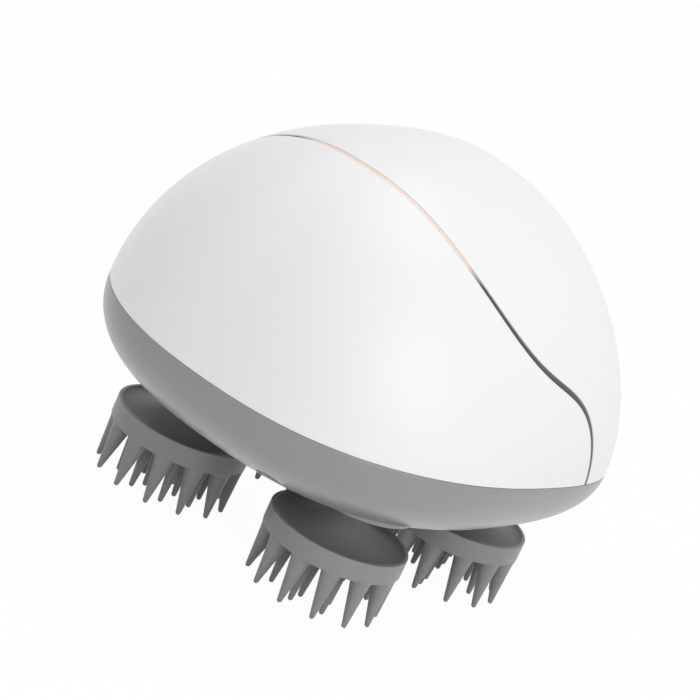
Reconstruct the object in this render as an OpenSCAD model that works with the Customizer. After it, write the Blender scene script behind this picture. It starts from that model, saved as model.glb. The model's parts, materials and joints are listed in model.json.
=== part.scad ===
// Hand-held electric scalp massager: an egg-shaped housing over four spinning claw heads.
// Millimetres. +Z is up, -Y is the front, +X is the right-hand side seen from the front.
// The origin lies on the surface that the claw tips stand on, under the middle of the housing.

/* [Housing] */
// Width of the housing across the seam
housing_w = 109; // [104:1:118]
// Length of the housing from front to back
housing_l = 126; // [120:1:136]
// Squareness of the plan outline, where 2 is an ellipse
plan_power = 2.55; // [2.3:0.05:3]
// Height of the middle of the seam above the claw tips
seam_h = 40; // [39:0.5:42]
// How far the seam climbs at the two sides
seam_bow = 3.8; // [2:0.2:5]
// How far the seam rises at the front and drops at the back
seam_tilt = 3.3; // [2:0.1:4]
// Height of the dome over the middle of the seam
dome_h = 60; // [58:1:66]
// Distance from the middle of the housing forward to the top of the dome
dome_top_fwd = 13; // [8:1:18]
// Depth of the base from the seam to its flat underside
base_depth = 16.5; // [16:0.1:17]
// Width of the flat underside
flat_w = 49; // [44:1:54]
// Length of the flat underside
flat_l = 57; // [52:1:62]
// Wall of the covers and the base
wall = 2.2; // [1.8:0.1:2.6]

/* [Seam and trim] */
// Height of the groove between the base and the covers
seam_gap = 0.8; // [0.6:0.1:1.2]
// Clearance above and below the gasket in that groove
gasket_clear = 0.08; // [0.05:0.01:0.2]
// How far the gasket lies behind the outer face
gasket_inset = 0.5; // [0.3:0.1:0.8]
// Width of the trim strip between the two covers
trim_w = 0.9; // [0.6:0.1:1.6]
// Clearance on each side of the trim strip
trim_clear = 0.06; // [0.04:0.01:0.15]
// How far the trim strip lies below the covers' faces
trim_sink = 0.15; // [0:0.05:0.4]
// Height of the screw posts inside the covers
post_h = 16; // [12:1:20]
// Radius of the screw posts inside the covers
post_r = 3.6; // [3.2:0.1:4.2]

/* [Claw heads] */
// Outer diameter of a claw head
head_d = 33; // [31:0.5:35]
// Distance between the left and right heads' axes
head_pitch_x = 47; // [46:0.5:48]
// Distance between the front and rear heads' axes
head_pitch_y = 51; // [50:0.5:52]
// Distance of the heads' centre behind the middle of the housing
heads_back = 3; // [2:0.5:4]
// Length of a claw from the band to its tip
claw_l = 12.2; // [11:0.2:12.8]
// Height of the band round a claw head
band_h = 4.8; // [4.4:0.1:5.2]
// Thickness of the silicone wall round the disc
lip_t = 1; // [0.8:0.1:1.4]
// Thickness of the silicone floor under the disc
pad_floor = 2; // [1.6:0.1:2.4]
// Number of claws in the outer ring
outer_claws = 12; // [10:1:13]
// Number of claws in the middle ring
middle_claws = 8; // [6:1:9]
// Number of claws in the inner ring
inner_claws = 4; // [3:1:5]
// Radius of an outer claw at its root
claw_root_r = 2.5; // [2.2:0.1:2.7]
// Radius of the other claws at their roots
inner_root_r = 1.75; // [1.4:0.05:1.8]
// Radius of a claw's rounded tip
claw_tip_r = 0.6; // [0.5:0.05:0.8]
// Radius of the ring of outer claw tips
outer_tip_ring_r = 15.3; // [14.6:0.1:15.6]
// How much higher the outer claws end than the others
outer_tip_rise = 0.45; // [0:0.05:0.6]
// Radius of the ring of middle claws at their roots
middle_ring_r = 9.3; // [9.1:0.1:9.4]
// Radius of the ring of inner claws at their roots
inner_ring_r = 4.5; // [4.2:0.1:4.8]
// How much wider the middle and inner rings are at the tips than at the roots
tip_spread = 0.5; // [0.2:0.1:0.8]
// Depth of the disc's rim below the silicone lip
rim_step = 0.6; // [0.4:0.1:0.9]
// Radius of the disc's hub round the spindle
hub_r = 4; // [3.6:0.1:4.4]
// Height that the disc's top sweeps up to the hub
hub_rise = 6; // [5:0.1:6.2]
// Radial distance over which that sweep fades out
hub_fade = 4; // [3:0.1:5]

/* [Drive] */
// Radius of a head's spindle
spindle_r = 2.5; // [2.2:0.1:2.8]
// Radial running clearance of the shafts
run_clear = 0.05; // [0.03:0.01:0.08]
// Radial clearance of a pressed piece in its seat
seat_clear = 0.03; // [0.02:0.01:0.05]
// Teeth on each head's gear
gear_teeth = 30; // [28:1:32]
// Teeth on the drive pinion
pinion_teeth = 26; // [24:1:27]
// Width of the gears' teeth
gear_t = 5; // [4:0.5:5]
// Thinning of each tooth flank for backlash
backlash = 0.06; // [0.04:0.01:0.12]
// Wall of the plain bushes
bush_wall = 1.5; // [1.2:0.1:1.8]
// Thickness of the bushes' flanges
bush_flange_t = 1; // [0.8:0.1:1.2]
// Radius of the collar under the base round each spindle
collar_r = 14.5; // [14:0.1:15]
// Height of the collars' lower face above the claw tips
collar_h = 25.2; // [24.8:0.1:25.6]
// Radius of the shaft seals
seal_r = 5.5; // [5:0.1:6]
// Height of the shaft seals
seal_h = 3; // [2.6:0.1:3.2]
// Thickness of the gear plate
plate_t = 2.5; // [2:0.1:3]
// Distance from the gear plate's sides to the housing's widest outline
plate_side_clear = 6.5; // [6:0.5:7.5]
// Distance from the gear plate's ends to the housing's outline, along the length
plate_end_clear = 17; // [16.5:0.5:18]
// Radius of the gearbox
gearbox_r = 15; // [14:0.5:16]
// Height of the gearbox
gearbox_h = 16; // [14:0.5:17]
// Radius of the motor can
motor_r = 12.2; // [11:0.1:13]
// Height of the motor can
motor_h = 30.8; // [28:0.1:32]
// Radius of the drive shaft
drive_shaft_r = 3; // [2.5:0.1:3.2]

/* [Power and controls] */
// Radius of the battery cell
cell_r = 9.2; // [9:0.1:9.4]
// Length of the battery cell
cell_l = 65; // [60:1:66]
// Distance of the battery's axis from the middle plane
cell_x = 30; // [29:0.5:31]
// Distance from the control board's inner edge to the gearbox
board_gearbox_clear = 4; // [3.5:0.5:6]
// Distance from the control board's outer edge to the housing's widest outline
board_side_clear = 10.5; // [10:0.5:12]
// Length of the control board
board_l = 60; // [50:1:60]
// Thickness of the circuit boards
board_t = 1.6; // [1.2:0.1:2]
// Clearance between the flanges of the charging socket and the button's bezel
button_gap = 2.5; // [1.5:0.5:4]
// Radius of the power button
button_r = 7; // [6:0.1:8]
// Travel of the power button
button_travel = 0.6; // [0.4:0.1:0.8]
// Width of the bezel round the power button
bezel_w = 2; // [1.6:0.1:2.4]
// Height of the charging socket above the claw tips
socket_h = 45.5; // [45:0.5:46.5]
// Radius of the charging socket's body
socket_r = 4; // [3.6:0.1:4.4]
// Radius of the charging socket's bore
socket_bore_r = 1.8; // [1.6:0.1:2]

/* [Hidden] */
$fn = 64;
white = [0.96, 0.96, 0.96];
housing_grey = [0.6, 0.6, 0.6];
silicone_grey = [0.52, 0.52, 0.52];
disc_grey = [0.34, 0.34, 0.34];
dark_rubber = [0.22, 0.22, 0.23];
rose_metal = [0.93, 0.8, 0.75];
steel = [0.75, 0.76, 0.78];
brass = [0.8, 0.66, 0.36];
acetal = [0.9, 0.9, 0.86];
board_green = [0.12, 0.38, 0.22];

// Facets of the housing: columns round the plan and rows up the dome and down the base,
// first on the faces that show and then inside, where they can be coarser
outer_cols = 56;
outer_dome_rows = 11;
outer_base_rows = 6;
inner_cols = 30;
inner_dome_rows = 7;
inner_base_rows = 4;

half_w = housing_w / 2;
half_l = housing_l / 2;
plate_w = housing_w - 2 * plate_side_clear;
plate_l = housing_l - 2 * plate_end_clear;
// Powers of the dome's outlines: how it rises from the seam and how it rounds over at the top
side_rise = 1.8;
side_round = 1.84;
front_rise = 2.6;
front_round = 2.12;
back_rise = 1.55;
back_round = 2.6;
// Power of the base's curve from the seam to the flat underside
base_power = 2.1;

// The line between the covers, as [y, height] control points of one cubic curve seen from the side
split_points = [[19, 42], [9.5, 77], [-10.5, 53.5], [-38.5, 96.5]];
split_steps = 16;

// Heights, from the claw tips up
rim_h = claw_l + band_h;
disc_low_h = claw_l + pad_floor;
dish_h = rim_h - rim_step - 0.4;
hub_top_h = dish_h + hub_rise;
base_low_h = seam_h - base_depth;
bush_boss_r = 7.5;
bush_boss_top = 32.5;
seal_top_h = 27.2;
gear_low_h = bush_boss_top + bush_flange_t + 0.3;
gear_top_h = gear_low_h + gear_t;
plate_low_h = gear_top_h + 0.2 + bush_flange_t;
plate_top_h = plate_low_h + plate_t;
spindle_low_h = disc_low_h + 2.2;
spindle_top_h = plate_top_h + 0.6;

// Gear train: the module follows from the distance between the axes
axis_r = norm([head_pitch_x, head_pitch_y]) / 2;
gear_module = 2 * axis_r / (gear_teeth + pinion_teeth);
pressure_angle = 20;
flank_steps = 3;

// Side signs [x, y] of the four heads: front left, front right, rear right, rear left
HEAD_SIDES = [[-1, -1], [1, -1], [1, 1], [-1, 1]];
// Turn of the claws on each head, in degrees, in the same order
CLAW_TURNS = [-4, 7, 17.5, 10];
// How far the outer claws' roots stay inside the band's face, and sink into the pad
claw_inset = 0.05;
claw_sink = 0.6;
// Screws: radius of the shank and of the head, and height of the head
screw_r = 1.4;
screw_head_r = 2.7;
screw_head_h = 1.8;
cover_screw_l = 10;
plate_screw_l = 9.5;
motor_screw_l = 6;
disc_screw_l = 6;
board_screw_l = 5.5;
switch_screw_l = 5;
// Screws that hold the gear plate, between the gears and one boss in from its edge
plate_screw_in = 4;
plate_screw_at = [[plate_w / 2 - plate_screw_in, heads_back], [plate_screw_in - plate_w / 2, heads_back],
    [0, heads_back + plate_l / 2 - plate_screw_in], [0, heads_back - plate_l / 2 + plate_screw_in]];
// Screws that hold the covers, front pair and rear pair, by their distance from the outline
cover_screw_x = 17;
front_screw_in = 13;
rear_screw_in = 10;
cover_screw_at = [[cover_screw_x, front_screw_in - half_l], [-cover_screw_x, front_screw_in - half_l],
    [cover_screw_x, half_l - rear_screw_in], [-cover_screw_x, half_l - rear_screw_in]];
cover_boss_r = 5;
// Web that ties a cover's post to the wall
web_t = 2;
web_l = 20;
// How far a solid that hollows a cover reaches below the seam
cut_skirt = 1.5;
// How far the hole for the charging socket is cut inward, and its whole length
socket_cut_in = 20;
socket_cut_l = 30;
// How much shorter the battery cradle is than the cell
cradle_short = 20;
cover_boss_top = seam_h - 2;
cover_well_top = 34;
// Posts under the control board, on the left of the motor
board_w = half_w - board_side_clear - gearbox_r - board_gearbox_clear;
board_x = board_side_clear + board_w / 2 - half_w;
board_y = heads_back;
board_low_h = plate_top_h + 7.5;
board_post_r = 2.6;
board_screw_at = [for (x = [-1, 1], y = [-1, 1])
    [board_x + x * (board_w / 2 - 3), board_y + y * (board_l / 2 - 3)]];
motor_screw_ring = 11;
motor_screw_at = [for (a = [45 : 90 : 315]) motor_screw_ring * [cos(a), sin(a)] + [0, heads_back]];
// The switch board behind the power button, in the button's own frame
switch_board_w = 32;
switch_board_l = 14;
switch_board_low = -15.2;
switch_body_h = 3.5;
switch_floor = 1;
switch_post_x = 12.5;
// The plunger keeps clear of the switch's floor, and the button of the switch, when pressed home
plunger_r = 1.5;
plunger_low = switch_board_low + board_t + switch_floor + button_travel + 0.3;
plunger_top = switch_board_low + board_t + switch_body_h + button_travel + 0.2;
button_flange_low = -6;
bezel_flange_low = -4.6;
bezel_flange = 0.8;
// The charging socket: its length, how far it lies behind the face, its floor and its flange
socket_depth = 8;
socket_sink = 0.3;
socket_floor = 1.5;
socket_flange = 1.2;
socket_flange_t = 1.3;
socket_flange_low = -wall - 2.4;
button_h = socket_h + socket_r + socket_flange + button_gap + button_r + bezel_w + bezel_flange;

// ---- Form of the housing ----

// Height of the bowed and tilted seam above its middle
function seam_lift(x, y) = seam_bow * pow(x / half_w, 2) - seam_tilt * y / half_l;

// Distance from the centre to the plan outline in one direction
function plan_r(ang, a, b) =
    pow(pow(abs(cos(ang)) / a, plan_power) + pow(abs(sin(ang)) / b, plan_power), -1 / plan_power);

// Outlines of the dome at level t, from 0 at the seam to 1 at the top, set in from the outer face
function dome_half_w(t, inset) = (half_w - inset) * pow(1 - pow(t, side_rise), 1 / side_round);
function dome_front(t, inset) =
    -dome_top_fwd - (half_l - inset - dome_top_fwd) * pow(1 - pow(t, front_rise), 1 / front_round);
function dome_back(t, inset) =
    -dome_top_fwd + (half_l - inset + dome_top_fwd) * pow(1 - pow(t, back_rise), 1 / back_round);
function dome_mid(t) = -dome_top_fwd * t * t;

// One level of the dome as a ring of points
function dome_ring(t, inset, cols = outer_cols) = [for (k = [0 : cols - 1])
    let (ang = 360 * k / cols,
         mid = dome_mid(t),
         b = sin(ang) < 0 ? mid - dome_front(t, inset) : dome_back(t, inset) - mid,
         r = plan_r(ang, dome_half_w(t, inset), b),
         x = r * cos(ang),
         y = mid + r * sin(ang))
    [x, y, seam_h + (dome_h - inset) * t + (1 - t) * seam_lift(x, y)]];

// One level of the base, from u = 0 under the seam to u = 1 at the flat underside
function base_ring(u, inset, cols = outer_cols) = [for (k = [0 : cols - 1])
    let (ang = 360 * k / cols,
         spread = pow(1 - pow(u, base_power), 1 / base_power),
         a = (flat_w / 2 - inset) + (half_w - flat_w / 2) * spread,
         b = (flat_l / 2 - inset) + (half_l - flat_l / 2) * spread,
         r = plan_r(ang, a, b),
         x = r * cos(ang),
         y = r * sin(ang))
    [x, y, seam_h - seam_gap - (base_depth - seam_gap - inset) * u + (1 - u) * seam_lift(x, y)]];

function moved_up(ring, rise) = [for (p = ring) p + [0, 0, rise]];

// Closed solid through a stack of rings, each end closed by a fan to its centre point
module ring_stack(rings, low_centre, top_centre) {
    n = len(rings);
    cols = len(rings[0]);
    low = n * cols;
    polyhedron(
        points = concat([for (ring = rings) each ring], [low_centre, top_centre]),
        faces = concat(
            [for (k = [0 : cols - 1]) [low, k, (k + 1) % cols]],
            [for (k = [0 : cols - 1]) [low + 1, (n - 1) * cols + (k + 1) % cols, (n - 1) * cols + k]],
            [for (j = [0 : n - 2], k = [0 : cols - 1])
                [j * cols + k, (j + 1) * cols + k, (j + 1) * cols + (k + 1) % cols]],
            [for (j = [0 : n - 2], k = [0 : cols - 1])
                [j * cols + k, (j + 1) * cols + (k + 1) % cols, j * cols + (k + 1) % cols]]));
}

// The dome filled up, set in from its outer face, with its lowest ring dropped by skirt
module dome_solid(inset, skirt = 0) {
    outer = inset < wall / 2;
    rows = outer ? outer_dome_rows : inner_dome_rows;
    cols = outer ? outer_cols : inner_cols;
    levels = [for (j = [0 : rows - 1]) sin(90 * j / rows)];
    rings = [for (t = levels) dome_ring(t, inset, cols)];
    ring_stack([for (j = [0 : rows - 1]) moved_up(rings[j], j == 0 ? -skirt : 0)],
        [0, 0, seam_h - skirt], [0, -dome_top_fwd, seam_h + dome_h - inset]);
}

// The base filled up, set in from its outer face, with its upper end raised by collar
module base_solid(inset, collar = 0) {
    outer = inset < wall / 2;
    rows = outer ? outer_base_rows : inner_base_rows;
    cols = outer ? outer_cols : inner_cols;
    levels = [for (j = [rows : -1 : 0]) sin(90 * j / rows)];
    rings = [for (u = levels) base_ring(u, inset, cols)];
    low = [0, 0, base_low_h + inset];
    if (collar > 0)
        ring_stack(concat(rings, [moved_up(rings[rows], collar)]), low,
            [0, 0, seam_h - seam_gap + collar]);
    else
        ring_stack(rings, low, [0, 0, seam_h - seam_gap]);
}

// A slab that follows the seam, from one height above it to another
module seam_slab(inset, low, high) {
    ring = dome_ring(0, inset);
    ring_stack([moved_up(ring, low), moved_up(ring, high)],
        [0, 0, seam_h + low], [0, 0, seam_h + high]);
}

// Point on the cubic curve between the covers
function split_at(s) = pow(1 - s, 3) * split_points[0] + 3 * s * pow(1 - s, 2) * split_points[1]
    + 3 * s * s * (1 - s) * split_points[2] + pow(s, 3) * split_points[3];

// Side view of the space in front of the line between the covers, grown by amount
module front_outline(amount) {
    far = housing_l;
    offset(delta = amount)
        polygon(concat([for (i = [0 : split_steps]) split_at(i / split_steps)],
            [[split_points[3][0], far + seam_h], [-far, far + seam_h], [-far, -far],
             [split_points[0][0], -far]]));
}

// A side view carried across the whole width
module across() {
    rotate([90, 0, 90]) linear_extrude(height = 2 * housing_w, center = true) children();
}

// One faceted body out of its children, at their own size
module one_mesh() {
    resize([0, 0, 0]) children();
}

// Level of the dome's back at a height, and its lean from upright there
function back_level(h, t = 0.3, n = 8) = n == 0 ? t :
    back_level(h, (h - seam_h + (1 - t) * seam_tilt * dome_back(t, 0) / half_l) / dome_h, n - 1);
function back_height(t) = seam_h + dome_h * t - (1 - t) * seam_tilt * dome_back(t, 0) / half_l;
function back_lean(h) = let (t = back_level(h), d = 0.02)
    atan2(dome_back(t - d, 0) - dome_back(t + d, 0), back_height(t + d) - back_height(t - d));

// Frame on the middle of the dome's back, with its Z along the outward normal
module on_back(h) {
    translate([0, dome_back(back_level(h), 0), h]) rotate([back_lean(h) - 90, 0, 0]) children();
}

// ---- Shared pieces ----

// Pan-head screw with its head's seat at z = 0 and its shank down, with a cross recess
module screw(l, r = screw_r, head_r = screw_head_r, head_h = screw_head_h) {
    translate([0, 0, -l]) cylinder(r = r, h = l);
    difference() {
        cylinder(r = head_r, h = head_h);
        for (a = [0, 90]) rotate([0, 0, a])
            translate([-head_r * 0.6, -0.3, head_h / 2]) cube([head_r * 1.2, 0.6, head_h]);
    }
}

// Spur gear profile: involute flanks over straight roots
function involute(r, base_r) = let (a = acos(min(1, base_r / r))) tan(a) * 180 / PI - a;
function tooth_half_angle(r, teeth) = let (pitch_r = gear_module * teeth / 2,
        base_r = pitch_r * cos(pressure_angle))
    90 / teeth - (backlash / pitch_r) * 180 / PI
        + involute(pitch_r, base_r) - involute(max(r, base_r), base_r);
function flank_radii(teeth) = let (pitch_r = gear_module * teeth / 2,
        base_r = pitch_r * cos(pressure_angle),
        tip_r = pitch_r + gear_module)
    concat([pitch_r - 1.25 * gear_module], [for (i = [0 : flank_steps])
        base_r + (tip_r - base_r) * i / flank_steps]);

module gear_outline(teeth) {
    radii = flank_radii(teeth);
    n = len(radii);
    polygon([for (tooth = [0 : teeth - 1], i = [0 : 2 * n - 1])
        let (rising = i < n,
             r = radii[rising ? i : 2 * n - 1 - i],
             a = 360 * tooth / teeth + (rising ? -1 : 1) * tooth_half_angle(r, teeth))
        r * [cos(a), sin(a)]]);
}

// Turn that brings a head's gear into mesh with the pinion, in degrees
function head_angle(side) = atan2(side[1] * head_pitch_y, side[0] * head_pitch_x);
function mesh_turn(side) = let (dir = head_angle(side))
    dir + 180 - (360 / gear_teeth) * (0.5 - dir / (360 / pinion_teeth));

module at_head(side) {
    translate([side[0] * head_pitch_x / 2, heads_back + side[1] * head_pitch_y / 2, 0]) children();
}

module at_heads() {
    for (side = HEAD_SIDES) at_head(side) children();
}

module at_each(places, h = 0) {
    for (p = places) translate([p[0], p[1], h]) children();
}

// ---- Housing ----

module base_housing() {
    color(housing_grey) one_mesh() difference() {
        union() {
            difference() {
                union() {
                    base_solid(0);
                    intersection() {
                        at_heads() translate([0, 0, collar_h]) cylinder(r = collar_r, h = 8, $fn = 40);
                        translate([-housing_w, -housing_l, 0])
                            cube([2 * housing_w, 2 * housing_l, seam_h - seam_gap - 4]);
                    }
                }
                base_solid(wall, 10);
            }
            intersection() {
                union() {
                    at_heads() translate([0, 0, base_low_h + 0.5])
                        cylinder(r = bush_boss_r, h = bush_boss_top - base_low_h - 0.5, $fn = 28);
                    at_each(plate_screw_at, base_low_h)
                        cylinder(r = post_r, h = plate_low_h - base_low_h, $fn = 20);
                    at_each(cover_screw_at, base_low_h)
                        cylinder(r = cover_boss_r, h = cover_boss_top - base_low_h, $fn = 20);
                }
                base_solid(wall / 2, 10);
            }
        }
        at_heads() {
            translate([0, 0, base_low_h - 1])
                cylinder(r = seal_r + seat_clear, h = seal_top_h - base_low_h + 1, $fn = 40);
            cylinder(r = spindle_r + bush_wall + seat_clear, h = bush_boss_top + 1, $fn = 32);
        }
        at_each(plate_screw_at, plate_low_h - 8) cylinder(r = screw_r + seat_clear, h = 9, $fn = 16);
        at_each(cover_screw_at) {
            cylinder(r = screw_head_r + 0.4, h = cover_well_top, $fn = 20);
            cylinder(r = screw_r + 0.2, h = seam_h, $fn = 16);
        }
    }
}

// A screw post under a cover with the web that ties it to the wall
module cover_post(p) {
    outward = p[1] < 0 ? -1 : 1;
    intersection() {
        translate([p[0], p[1], cover_boss_top + 0.15]) difference() {
            union() {
                cylinder(r = post_r, h = post_h, $fn = 20);
                translate([-web_t / 2, outward < 0 ? -web_l : 0, web_t]) cube([web_t, web_l, post_h - web_t]);
            }
            translate([0, 0, -1]) cylinder(r = screw_r + seat_clear, h = 9, $fn = 16);
        }
        union() {
            dome_solid(wall / 2);
            seam_slab(wall + 2.4, -10, 0.5);
        }
    }
}

module front_cover() {
    color(white) one_mesh() union() {
        intersection() {
            difference() {
                dome_solid(0);
                dome_solid(wall, cut_skirt);
            }
            across() front_outline(-(trim_w / 2 + trim_clear));
        }
        for (p = cover_screw_at) if (p[1] < 0) cover_post(p);
    }
}

module rear_cover() {
    color(white) one_mesh() difference() {
        union() {
            difference() {
                dome_solid(0);
                dome_solid(wall, cut_skirt);
                across() front_outline(trim_w / 2 + trim_clear);
            }
            for (p = cover_screw_at) if (p[1] > 0) cover_post(p);
            on_back(button_h) intersection() {
                for (x = [-switch_post_x, switch_post_x])
                    translate([x, 0, switch_board_low + board_t])
                        cylinder(r = 2.4, h = -switch_board_low - board_t, $fn = 24);
                translate([0, 0, -40 - wall / 2]) cube([60, 60, 80], center = true);
            }
        }
        on_back(button_h) {
            translate([0, 0, -6]) cylinder(r = button_r + bezel_w + seat_clear, h = 12, $fn = 40);
            for (x = [-switch_post_x, switch_post_x])
                translate([x, 0, switch_board_low])
                    cylinder(r = 1 + seat_clear, h = 7, $fn = 24);
        }
        on_back(socket_h) translate([0, 0, -socket_cut_in])
            cylinder(r = socket_r + seat_clear, h = socket_cut_l, $fn = 32);
    }
}

module trim_strip() {
    color(rose_metal) one_mesh() intersection() {
        difference() {
            dome_solid(trim_sink);
            dome_solid(wall, cut_skirt);
        }
        across() difference() {
            front_outline(trim_w / 2);
            front_outline(-trim_w / 2);
        }
    }
}

module seam_gasket() {
    color(dark_rubber) one_mesh() difference() {
        seam_slab(gasket_inset, -seam_gap + gasket_clear, -gasket_clear);
        seam_slab(wall, -seam_gap - 1, 1);
    }
}

module cover_screws() {
    color(steel) at_each(cover_screw_at, cover_well_top) mirror([0, 0, 1]) screw(cover_screw_l);
}

// ---- Drive ----

module gear_plate() {
    color(acetal) difference() {
        union() {
            translate([0, heads_back, plate_low_h]) linear_extrude(height = plate_t)
                polygon([for (k = [0 : 71]) let (a = 5 * k)
                    plan_r(a, plate_w / 2, plate_l / 2) * [cos(a), sin(a)]]);
            at_each(board_screw_at, plate_top_h) cylinder(r = board_post_r, h = board_low_h - plate_top_h);
            translate([0, heads_back, plate_top_h]) difference() {
                cylinder(r = gearbox_r + 2, h = 3);
                translate([0, 0, -1]) cylinder(r = gearbox_r + seat_clear, h = 5);
            }
        }
        at_heads() translate([0, 0, plate_low_h - 1])
            cylinder(r = spindle_r + bush_wall + seat_clear, h = plate_t + 2);
        translate([0, heads_back, plate_low_h - 1]) cylinder(r = drive_shaft_r + 1, h = plate_t + 2);
        at_each(plate_screw_at, plate_low_h - 1) cylinder(r = screw_r + 0.15, h = plate_t + 2);
        at_each(motor_screw_at, plate_low_h - 1) cylinder(r = screw_r + 0.15, h = plate_t + 2);
        at_each(motor_screw_at, plate_low_h - 1) cylinder(r = screw_head_r + 0.1, h = 2);
        at_each(board_screw_at, board_low_h - 5) cylinder(r = 1 + seat_clear, h = 6);
    }
}

module gear_plate_screws() {
    color(steel) at_each(plate_screw_at, plate_top_h) screw(plate_screw_l);
}

module motor_gearbox() {
    color(steel) translate([0, heads_back, plate_top_h]) difference() {
        union() {
            cylinder(r = gearbox_r, h = gearbox_h);
            for (a = [0 : 30 : 330]) rotate([0, 0, a])
                translate([gearbox_r - 0.2, -1, 4]) cube([0.6, 2, gearbox_h - 6]);
        }
        translate([0, 0, -1]) cylinder(r = drive_shaft_r + run_clear, h = 9);
        for (a = [45 : 90 : 315]) rotate([0, 0, a]) translate([motor_screw_ring, 0, -1])
            cylinder(r = screw_r + seat_clear, h = 6);
    }
}

module drive_motor() {
    color(steel) translate([0, heads_back, plate_top_h + gearbox_h]) {
        difference() {
            cylinder(r = motor_r, h = motor_h - 2);
            for (x = [-1, 1]) translate([x * (motor_r + 4.2), 0, motor_h / 2])
                cube([10, 5, 8], center = true);
        }
        translate([0, 0, motor_h - 2]) cylinder(r1 = motor_r - 0.6, r2 = motor_r - 1.6, h = 2);
        translate([0, 0, motor_h]) cylinder(r = 3, h = 1.6);
        for (y = [-1, 1]) translate([-1, y * 7 - 0.3, motor_h]) cube([2, 0.6, 3]);
    }
}

module motor_screws() {
    color(steel) at_each(motor_screw_at, plate_low_h + 1) mirror([0, 0, 1])
        screw(motor_screw_l, screw_r, screw_head_r, 0.9);
}

module drive_shaft() {
    color(steel) translate([0, heads_back, gear_low_h - 1])
        cylinder(r = drive_shaft_r, h = plate_top_h + 7.5 - gear_low_h + 1);
}

module drive_pinion() {
    color(acetal) translate([0, heads_back, gear_low_h]) difference() {
        linear_extrude(height = gear_t) gear_outline(pinion_teeth);
        translate([0, 0, -1]) cylinder(r = drive_shaft_r + seat_clear, h = gear_t + 2);
        for (a = [0 : 60 : 300]) rotate([0, 0, a]) translate([9, 0, -1]) cylinder(r = 2.6, h = gear_t + 2);
    }
}

module head_gear(side) {
    color(acetal) at_head(side) translate([0, 0, gear_low_h]) rotate([0, 0, mesh_turn(side)])
        difference() {
            linear_extrude(height = gear_t) gear_outline(gear_teeth);
            translate([0, 0, -1]) cylinder(r = spindle_r + seat_clear, h = gear_t + 2);
            for (a = [0 : 60 : 300]) rotate([0, 0, a]) translate([10.5, 0, -1])
                cylinder(r = 3.2, h = gear_t + 2);
        }
}

module spindle(side) {
    color(steel) at_head(side) translate([0, 0, spindle_low_h]) difference() {
        cylinder(r = spindle_r, h = spindle_top_h - spindle_low_h);
        translate([0, 0, -1]) cylinder(r = 1, h = 8);
    }
}

module lower_bush(side) {
    color(brass) at_head(side) difference() {
        union() {
            translate([0, 0, seal_top_h]) cylinder(r = spindle_r + bush_wall, h = bush_boss_top - seal_top_h);
            translate([0, 0, bush_boss_top]) cylinder(r = spindle_r + bush_wall + 2, h = bush_flange_t);
        }
        cylinder(r = spindle_r + run_clear, h = plate_top_h);
    }
}

module upper_bush(side) {
    color(brass) at_head(side) difference() {
        union() {
            translate([0, 0, plate_low_h]) cylinder(r = spindle_r + bush_wall, h = plate_t);
            translate([0, 0, plate_low_h - bush_flange_t])
                cylinder(r = spindle_r + bush_wall + 2, h = bush_flange_t);
        }
        cylinder(r = spindle_r + run_clear, h = plate_top_h + 1);
    }
}

module shaft_seal(side) {
    color(dark_rubber) at_head(side) translate([0, 0, seal_top_h - seal_h]) difference() {
        cylinder(r = seal_r, h = seal_h);
        translate([0, 0, -1]) cylinder(r = spindle_r + run_clear, h = seal_h + 2);
        translate([0, 0, -1]) cylinder(r1 = spindle_r + 2.6, r2 = spindle_r + 0.6, h = 2.4);
    }
}

// ---- Claw heads ----

// Rigid disc: a dished top that sweeps up to the hub, over a flat underside with a screw recess
module head_disc(side) {
    r_out = head_d / 2 - lip_t - seat_clear;
    steps = 10;
    color(disc_grey) at_head(side) difference() {
        rotate_extrude() polygon(concat(
            [[0, disc_low_h], [r_out, disc_low_h]],
            [for (i = [0 : steps]) let (r = r_out + (hub_r - r_out) * i / steps)
                [r, dish_h + hub_rise * exp(-(r - hub_r) / hub_fade)]],
            [[0, hub_top_h]]));
        translate([0, 0, spindle_low_h]) cylinder(r = spindle_r + seat_clear, h = hub_top_h);
        translate([0, 0, disc_low_h - 1]) cylinder(r = 2.3, h = 1 + 1.6);
        translate([0, 0, disc_low_h]) cylinder(r = 1.1, h = 3);
    }
}

module disc_screw(side) {
    color(steel) at_head(side) translate([0, 0, disc_low_h + 1.6]) mirror([0, 0, 1])
        screw(disc_screw_l, 1, 2.1, 1.4);
}

// One claw: a cone from its root down to a rounded tip that lies a little further out
module claw(root_ring_r, tip_ring_r, root_r, tip_rise = 0) {
    reach = claw_l - claw_tip_r - tip_rise;
    lean = atan2(tip_ring_r - root_ring_r, reach);
    translate([root_ring_r, 0, claw_l + claw_sink]) rotate([0, 180 - lean, 0]) {
        cylinder(r1 = root_r, r2 = claw_tip_r, h = (reach + claw_sink) / cos(lean), $fn = 32);
        translate([0, 0, (reach + claw_sink) / cos(lean)]) sphere(r = claw_tip_r, $fn = 32);
    }
}

// Silicone pad: a cup that grips the disc, with rings of claws under it
module claw_pad(k) {
    r = head_d / 2;
    color(silicone_grey) at_head(HEAD_SIDES[k]) rotate([0, 0, CLAW_TURNS[k]]) {
        difference() {
            translate([0, 0, claw_l]) cylinder(r = r, h = band_h);
            translate([0, 0, disc_low_h]) cylinder(r = r - lip_t, h = band_h);
        }
        for (i = [0 : outer_claws - 1]) rotate([0, 0, 360 * i / outer_claws])
            claw(r - claw_root_r - claw_inset, outer_tip_ring_r, claw_root_r, outer_tip_rise);
        for (i = [0 : middle_claws - 1]) rotate([0, 0, 360 * i / middle_claws])
            claw(middle_ring_r, middle_ring_r + tip_spread, inner_root_r);
        for (i = [0 : inner_claws - 1]) rotate([0, 0, 360 * i / inner_claws])
            claw(inner_ring_r, inner_ring_r + tip_spread, inner_root_r);
    }
}

// ---- Power and controls ----

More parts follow.
